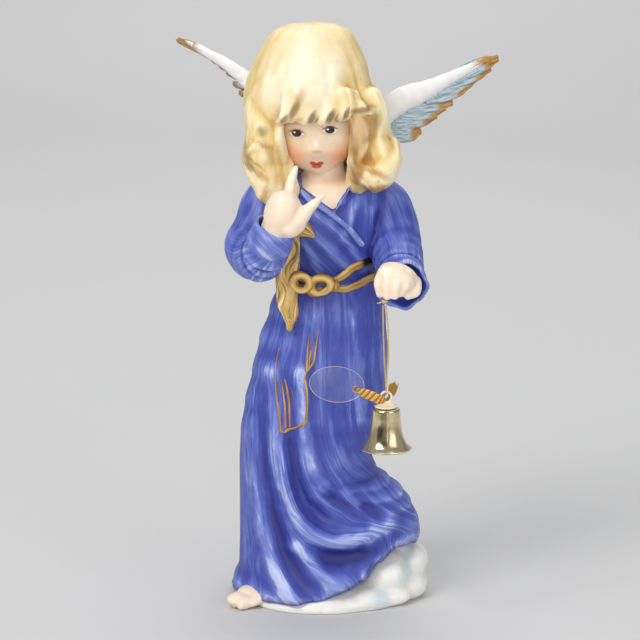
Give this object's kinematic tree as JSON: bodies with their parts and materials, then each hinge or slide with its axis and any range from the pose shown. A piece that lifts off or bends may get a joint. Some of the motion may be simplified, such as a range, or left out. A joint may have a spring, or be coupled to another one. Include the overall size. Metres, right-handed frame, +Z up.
{
  "type": "angel figurine with hanging bell",
  "caption": "Standing bisque porcelain child angel on a cloud base, one hand at the lips, the other holding a cord with a small brass bell that swings.",
  "frame": {"origin": "on the surface that the figurine stands on, in the middle of its bounding box seen from above", "axes": "+Z up, the figure looks along -Y, +X to the figure's left"},
  "size_m": [0.1384, 0.1178, 0.242],
  "materials": {
    "robe_blue": "satin",
    "skin": "satin",
    "hair_blond": "satin",
    "cloud_white": "gloss",
    "wing_white": "satin",
    "gold_paint": "satin",
    "bell_brass": "polished",
    "crown_ivory": "satin",
    "cord_gold": "satin",
    "foil_gold": "polished",
    "tag_clear": "gloss"
  },
  "bodies": {
    "figurine": {"cloud_base": "cloud_white", "right_foot": "skin", "robe_skirt": "robe_blue", "robe_bodice": "robe_blue", "neck_and_chest": "skin", "head": "skin", "right_hand": "skin", "left_hand": "skin", "right_cuff": "robe_blue", "left_cuff": "robe_blue", "right_sleeve": "robe_blue", "left_sleeve": "robe_blue", "left_wing": "wing_white", "right_wing": "wing_white", "hair_cap": "hair_blond", "hair_fall_right": "hair_blond", "hair_curl_left": "hair_blond", "hair_back": "hair_blond", "hair_long_lock": "hair_blond", "hair_lock_tip": "hair_blond", "belt_upper": "gold_paint", "belt_lower": "gold_paint", "wrap_edge": "robe_blue", "collar_edge": "robe_blue", "bow_loop_right": "gold_paint", "bow_loop_left": "gold_paint", "bow_heart": "gold_paint", "belt_knot": "gold_paint", "sash_long": "robe_blue", "sash_short": "robe_blue"},
    "knot": {"cord_knot": "cord_gold"},
    "cord": {"hanging_cord": "cord_gold"},
    "bell": {"bell_shell": "bell_brass", "bell_crown": "crown_ivory", "clapper_staple": "bell_brass", "tag_tie": "foil_gold"},
    "clapper": {"clapper_wire": "bell_brass", "clapper_ball": "bell_brass"},
    "name_tag": {"tag": "tag_clear"}
  },
  "joints": [
    {"name": "cord_side_swing", "type": "hinge", "parent": "figurine", "child": "knot", "pos_m": [0.01853, -0.04892, 0.1361], "axis": [0, 1, 0], "range_deg": [-18, 18]},
    {"name": "cord_fore_swing", "type": "hinge", "parent": "knot", "child": "cord", "pos_m": [0.01853, -0.04892, 0.1361], "axis": [1, 0, 0], "range_deg": [-30, 10]},
    {"name": "bell_tilt", "type": "hinge", "parent": "cord", "child": "bell", "pos_m": [0.01943, -0.04842, 0.0981], "axis": [0, 1, 0], "range_deg": [-22, 22]},
    {"name": "clapper_swing", "type": "hinge", "parent": "bell", "child": "clapper", "pos_m": [0.01943, -0.04842, 0.08895], "axis": [1, 0, 0], "range_deg": [-18, 18]},
    {"name": "tag_turn", "type": "hinge", "parent": "bell", "child": "name_tag", "pos_m": [0.00733, -0.04842, 0.1], "axis": [0, 1, 0], "range_deg": [-40, 40]}
  ]
}
